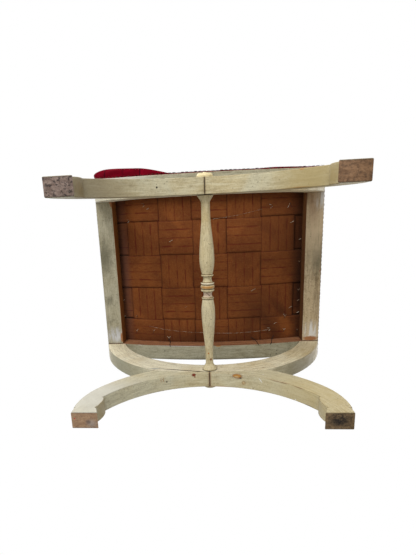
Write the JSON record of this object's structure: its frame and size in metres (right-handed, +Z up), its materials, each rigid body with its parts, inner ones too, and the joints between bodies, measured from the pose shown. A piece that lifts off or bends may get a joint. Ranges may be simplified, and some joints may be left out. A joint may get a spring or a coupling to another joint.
{
  "type": "curule stool",
  "caption": "Curule stool with two curved frames joined by a turned stretcher, and a dished, webbed seat under nailed velvet.",
  "frame": {"origin": "on the floor, under the middle of the seat", "axes": "+Z up, +X to the right as seen from the front, -Y towards the front"},
  "size_m": [0.595, 0.5182, 0.4835],
  "materials": {
    "cream_paint": "aged cream paint, eggshell, worn at the arrises",
    "rail_paint": "aged cream paint, dusty",
    "bare_beech": "bare wood",
    "jute_webbing": "woven jute with dark stripes",
    "hessian": "plain weave",
    "hair_stuffing": "curled hair in calico",
    "crimson_velvet": "short pile velvet"
  },
  "bodies": {
    "root": {"front_left_arm": "cream_paint", "front_left_arm_dowel_far": "bare_beech", "front_left_arm_dowel_near": "bare_beech", "front_left_crossing_peg": "bare_beech", "front_left_leg": "cream_paint", "front_left_rail_dowel_lower": "bare_beech", "front_left_rail_dowel_upper": "bare_beech", "front_rail": "rail_paint", "front_right_arm": "cream_paint", "front_right_arm_dowel_far": "bare_beech", "front_right_arm_dowel_near": "bare_beech", "front_right_crossing_peg": "bare_beech", "front_right_leg": "cream_paint", "front_right_rail_dowel_lower": "bare_beech", "front_right_rail_dowel_upper": "bare_beech", "front_rosette": "cream_paint", "hessian": "hessian", "left_rail": "rail_paint", "rear_left_arm": "cream_paint", "rear_left_arm_dowel_far": "bare_beech", "rear_left_arm_dowel_near": "bare_beech", "rear_left_crossing_peg": "bare_beech", "rear_left_leg": "cream_paint", "rear_left_rail_dowel_lower": "bare_beech", "rear_left_rail_dowel_upper": "bare_beech", "rear_rail": "rail_paint", "rear_right_arm": "cream_paint", "rear_right_arm_dowel_far": "bare_beech", "rear_right_arm_dowel_near": "bare_beech", "rear_right_crossing_peg": "bare_beech", "rear_right_leg": "cream_paint", "rear_right_rail_dowel_lower": "bare_beech", "rear_right_rail_dowel_upper": "bare_beech", "rear_rosette": "cream_paint", "right_rail": "rail_paint", "stretcher": "cream_paint", "stuffing": "hair_stuffing", "velvet_cover": "crimson_velvet", "webbing_column_1": "jute_webbing", "webbing_column_2": "jute_webbing", "webbing_column_3": "jute_webbing", "webbing_column_4": "jute_webbing", "webbing_column_5": "jute_webbing", "webbing_row_1": "jute_webbing", "webbing_row_2": "jute_webbing", "webbing_row_3": "jute_webbing", "webbing_row_4": "jute_webbing", "webbing_row_5": "jute_webbing"}
  },
  "joints": []
}
